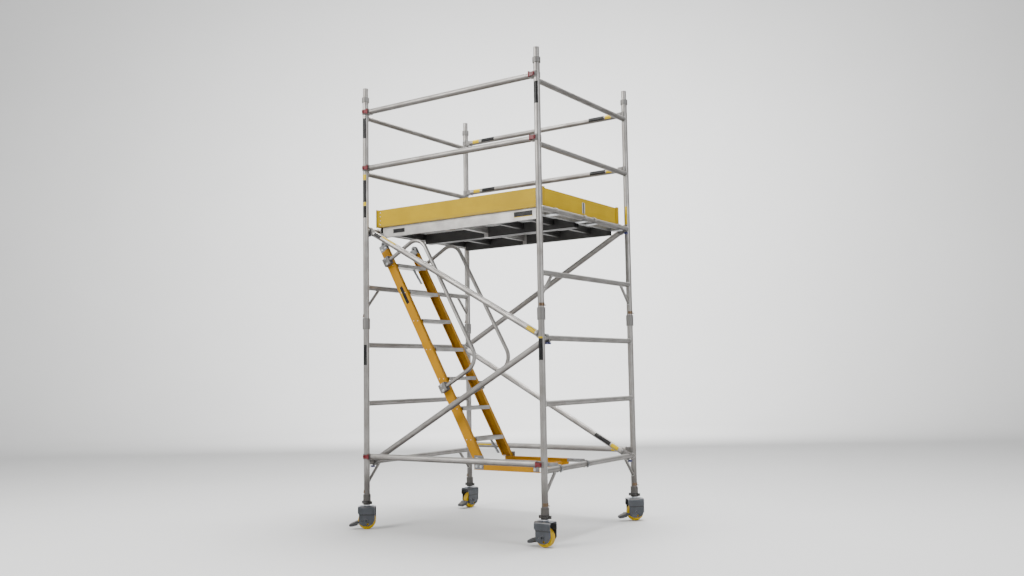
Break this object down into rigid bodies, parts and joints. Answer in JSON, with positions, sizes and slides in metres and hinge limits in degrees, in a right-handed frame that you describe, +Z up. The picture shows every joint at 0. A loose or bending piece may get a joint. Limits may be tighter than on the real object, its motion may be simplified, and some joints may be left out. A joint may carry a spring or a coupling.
{
  "type": "mobile tower scaffold",
  "caption": "Mobile aluminium tower scaffold with two-high side frames, clip-on braces and guard rails, decked platforms with a hatch, toe boards, an inner stair and braked adjustable castors.",
  "frame": {"origin": "on the floor, midway between the four post axes", "axes": "+X along the tower from the left side frame to the right side frame, +Y from the front, where the stair is, to the rear, +Z up"},
  "size_m": [2.0297, 1.6519, 3.8217],
  "materials": {
    "aluminium": "mill finish, ribbed and lightly weathered",
    "cast_aluminium": "as cast",
    "toe_board": "yellow painted board",
    "deck_board": "dark phenolic coated plywood",
    "stair_yellow": "orange-yellow glass fibre channel",
    "yellow_zinc": "yellow passivated spring steel",
    "red_trigger": "moulded",
    "blue_trigger": "moulded",
    "zinc_steel": "zinc plated",
    "cast_nut": "dark casting",
    "fork_paint": "blue-grey enamel",
    "pedal_paint": "grey enamel",
    "yellow_tyre": "yellow polyurethane"
  },
  "bodies": {
    "tower": {"front_base_brace": "aluminium", "front_handrail": "aluminium", "front_lower_diagonal": "aluminium", "front_mid_guard_rail": "aluminium", "front_platform_deck": "deck_board", "front_platform_frame": "aluminium", "front_toe_board": "toe_board", "front_top_guard_rail": "aluminium", "front_upper_diagonal": "aluminium", "left_lower_frame": "aluminium", "left_toe_board": "toe_board", "left_upper_frame": "aluminium", "rear_base_brace": "aluminium", "rear_handrail": "aluminium", "rear_lower_diagonal": "aluminium", "rear_mid_guard_rail": "aluminium", "rear_platform_deck": "deck_board", "rear_platform_frame": "aluminium", "rear_toe_board": "toe_board", "rear_top_guard_rail": "aluminium", "rear_upper_diagonal": "aluminium", "right_lower_frame": "aluminium", "right_toe_board": "toe_board", "right_upper_frame": "aluminium", "stair_base_frame": "stair_yellow", "stair_brackets": "cast_aluminium", "stair_stiles": "stair_yellow", "stair_treads": "aluminium"},
    "hatch": {"hatch": "deck_board"},
    "wind_locks": {"wind_locks": "aluminium"},
    "interlock_clips_left": {"interlock_clips_left": "yellow_zinc"},
    "interlock_clips_right": {"interlock_clips_right": "yellow_zinc"},
    "red_triggers_front_left": {"red_triggers_front_left": "red_trigger"},
    "blue_triggers_front_left": {"blue_triggers_front_left": "blue_trigger"},
    "leg_front_left": {"adjustable_leg_front_left": "zinc_steel"},
    "nut_front_left": {"adjusting_nut_front_left": "cast_nut"},
    "fork_front_left": {"castor_fork_front_left": "fork_paint"},
    "wheel_front_left": {"castor_wheel_front_left": "yellow_tyre"},
    "pedal_front_left": {"brake_pedal_front_left": "pedal_paint"},
    "red_triggers_front_right": {"red_triggers_front_right": "red_trigger"},
    "blue_triggers_front_right": {"blue_triggers_front_right": "blue_trigger"},
    "leg_front_right": {"adjustable_leg_front_right": "zinc_steel"},
    "nut_front_right": {"adjusting_nut_front_right": "cast_nut"},
    "fork_front_right": {"castor_fork_front_right": "fork_paint"},
    "wheel_front_right": {"castor_wheel_front_right": "yellow_tyre"},
    "pedal_front_right": {"brake_pedal_front_right": "pedal_paint"},
    "red_triggers_rear_left": {"red_triggers_rear_left": "red_trigger"},
    "blue_triggers_rear_left": {"blue_triggers_rear_left": "blue_trigger"},
    "leg_rear_left": {"adjustable_leg_rear_left": "zinc_steel"},
    "nut_rear_left": {"adjusting_nut_rear_left": "cast_nut"},
    "fork_rear_left": {"castor_fork_rear_left": "fork_paint"},
    "wheel_rear_left": {"castor_wheel_rear_left": "yellow_tyre"},
    "pedal_rear_left": {"brake_pedal_rear_left": "pedal_paint"},
    "red_triggers_rear_right": {"red_triggers_rear_right": "red_trigger"},
    "blue_triggers_rear_right": {"blue_triggers_rear_right": "blue_trigger"},
    "leg_rear_right": {"adjustable_leg_rear_right": "zinc_steel"},
    "nut_rear_right": {"adjusting_nut_rear_right": "cast_nut"},
    "fork_rear_right": {"castor_fork_rear_right": "fork_paint"},
    "wheel_rear_right": {"castor_wheel_rear_right": "yellow_tyre"},
    "pedal_rear_right": {"brake_pedal_rear_right": "pedal_paint"}
  },
  "joints": [
    {"name": "hatch_hinge", "type": "hinge", "parent": "tower", "child": "hatch", "pos_m": [-0.4525, -0.568, 2.6066], "axis": [1, 0, 0], "range_deg": [0, 95]},
    {"name": "wind_lock_hinge", "type": "hinge", "parent": "tower", "child": "wind_locks", "pos_m": [0.838, 0, 2.53215], "axis": [0, 1, 0], "range_deg": [0, 70]},
    {"name": "interlock_clip_slide_left", "type": "slide", "parent": "tower", "child": "interlock_clips_left", "axis": [-1, 0, 0], "range_m": [0, 0.03]},
    {"name": "interlock_clip_slide_right", "type": "slide", "parent": "tower", "child": "interlock_clips_right", "axis": [1, 0, 0], "range_m": [0, 0.03]},
    {"name": "red_trigger_hinge_front_left", "type": "hinge", "parent": "tower", "child": "red_triggers_front_left", "pos_m": [-0.85, -0.7644, 2], "axis": [0, 0, 1], "range_deg": [0, 30], "stiffness_Nm_per_rad": 0.3, "springref_deg": -5.73},
    {"name": "blue_trigger_slide_front_left", "type": "slide", "parent": "tower", "child": "blue_triggers_front_left", "axis": [0, 0, -1], "range_m": [0, 0.008], "stiffness_N_per_m": 1500, "springref_m": -0.001},
    {"name": "nut_turn_front_left", "type": "hinge", "parent": "tower", "child": "nut_front_left", "pos_m": [-0.9, -0.725, 0.2227], "axis": [0, 0, 1], "range_deg": [0, 9000]},
    {"name": "leg_slide_front_left", "type": "slide", "parent": "tower", "child": "leg_front_left", "axis": [0, 0, -1], "range_m": [0, 0.2002]},
    {"name": "castor_swivel_front_left", "type": "hinge", "parent": "leg_front_left", "child": "fork_front_left", "pos_m": [-0.9, -0.725, 0.19], "axis": [0, 0, 1], "continuous": true},
    {"name": "wheel_spin_front_left", "type": "hinge", "parent": "fork_front_left", "child": "wheel_front_left", "pos_m": [-0.9, -0.725, 0.075], "axis": [-0.5736, 0.8192, 0], "continuous": true},
    {"name": "brake_pedal_hinge_front_left", "type": "hinge", "parent": "fork_front_left", "child": "pedal_front_left", "pos_m": [-0.93031, -0.74622, 0.075], "axis": [-0.5736, 0.8192, 0], "range_deg": [0, 25]},
    {"name": "red_trigger_hinge_front_right", "type": "hinge", "parent": "tower", "child": "red_triggers_front_right", "pos_m": [0.85, -0.7644, 2], "axis": [0, 0, -1], "range_deg": [0, 30], "stiffness_Nm_per_rad": 0.3, "springref_deg": -5.73},
    {"name": "blue_trigger_slide_front_right", "type": "slide", "parent": "tower", "child": "blue_triggers_front_right", "axis": [0, 0, -1], "range_m": [0, 0.008], "stiffness_N_per_m": 1500, "springref_m": -0.001},
    {"name": "nut_turn_front_right", "type": "hinge", "parent": "tower", "child": "nut_front_right", "pos_m": [0.9, -0.725, 0.2227], "axis": [0, 0, 1], "range_deg": [0, 9000]},
    {"name": "leg_slide_front_right", "type": "slide", "parent": "tower", "child": "leg_front_right", "axis": [0, 0, -1], "range_m": [0, 0.2002]},
    {"name": "castor_swivel_front_right", "type": "hinge", "parent": "leg_front_right", "child": "fork_front_right", "pos_m": [0.9, -0.725, 0.19], "axis": [0, 0, 1], "continuous": true},
    {"name": "wheel_spin_front_right", "type": "hinge", "parent": "fork_front_right", "child": "wheel_front_right", "pos_m": [0.9, -0.725, 0.075], "axis": [0, 1, 0], "continuous": true},
    {"name": "brake_pedal_hinge_front_right", "type": "hinge", "parent": "fork_front_right", "child": "pedal_front_right", "pos_m": [0.863, -0.725, 0.075], "axis": [0, 1, 0], "range_deg": [0, 25]},
    {"name": "red_trigger_hinge_rear_left", "type": "hinge", "parent": "tower", "child": "red_triggers_rear_left", "pos_m": [-0.85, 0.7644, 2], "axis": [0, 0, -1], "range_deg": [0, 30], "stiffness_Nm_per_rad": 0.3, "springref_deg": -5.73},
    {"name": "blue_trigger_slide_rear_left", "type": "slide", "parent": "tower", "child": "blue_triggers_rear_left", "axis": [0, 0, -1], "range_m": [0, 0.008], "stiffness_N_per_m": 1500, "springref_m": -0.001},
    {"name": "nut_turn_rear_left", "type": "hinge", "parent": "tower", "child": "nut_rear_left", "pos_m": [-0.9, 0.725, 0.2227], "axis": [0, 0, 1], "range_deg": [0, 9000]},
    {"name": "leg_slide_rear_left", "type": "slide", "parent": "tower", "child": "leg_rear_left", "axis": [0, 0, -1], "range_m": [0, 0.2002]},
    {"name": "castor_swivel_rear_left", "type": "hinge", "parent": "leg_rear_left", "child": "fork_rear_left", "pos_m": [-0.9, 0.725, 0.19], "axis": [0, 0, 1], "continuous": true},
    {"name": "wheel_spin_rear_left", "type": "hinge", "parent": "fork_rear_left", "child": "wheel_rear_left", "pos_m": [-0.9, 0.725, 0.075], "axis": [-0.9962, 0.0872, 0], "continuous": true},
    {"name": "brake_pedal_hinge_rear_left", "type": "hinge", "parent": "fork_rear_left", "child": "pedal_rear_left", "pos_m": [-0.90322, 0.68814, 0.075], "axis": [-0.9962, 0.0872, 0], "range_deg": [0, 25]},
    {"name": "red_trigger_hinge_rear_right", "type": "hinge", "parent": "tower", "child": "red_triggers_rear_right", "pos_m": [0.85, 0.7644, 2], "axis": [0, 0, 1], "range_deg": [0, 30], "stiffness_Nm_per_rad": 0.3, "springref_deg": -5.73},
    {"name": "blue_trigger_slide_rear_right", "type": "slide", "parent": "tower", "child": "blue_triggers_rear_right", "axis": [0, 0, -1], "range_m": [0, 0.008], "stiffness_N_per_m": 1500, "springref_m": -0.001},
    {"name": "nut_turn_rear_right", "type": "hinge", "parent": "tower", "child": "nut_rear_right", "pos_m": [0.9, 0.725, 0.2227], "axis": [0, 0, 1], "range_deg": [0, 9000]},
    {"name": "leg_slide_rear_right", "type": "slide", "parent": "tower", "child": "leg_rear_right", "axis": [0, 0, -1], "range_m": [0, 0.2002]},
    {"name": "castor_swivel_rear_right", "type": "hinge", "parent": "leg_rear_right", "child": "fork_rear_right", "pos_m": [0.9, 0.725, 0.19], "axis": [0, 0, 1], "continuous": true},
    {"name": "wheel_spin_rear_right", "type": "hinge", "parent": "fork_rear_right", "child": "wheel_rear_right", "pos_m": [0.9, 0.725, 0.075], "axis": [-0.7071, 0.7071, 0], "continuous": true},
    {"name": "brake_pedal_hinge_rear_right", "type": "hinge", "parent": "fork_rear_right", "child": "pedal_rear_right", "pos_m": [0.87384, 0.69884, 0.075], "axis": [-0.7071, 0.7071, 0], "range_deg": [0, 25]}
  ],
  "couplings": [
    {"joint": "leg_slide_front_left", "follows": "nut_turn_front_left", "m_per_rad": 0.0012732},
    {"joint": "leg_slide_front_right", "follows": "nut_turn_front_right", "m_per_rad": 0.0012732},
    {"joint": "leg_slide_rear_left", "follows": "nut_turn_rear_left", "m_per_rad": 0.0012732},
    {"joint": "leg_slide_rear_right", "follows": "nut_turn_rear_right", "m_per_rad": 0.0012732}
  ]
}
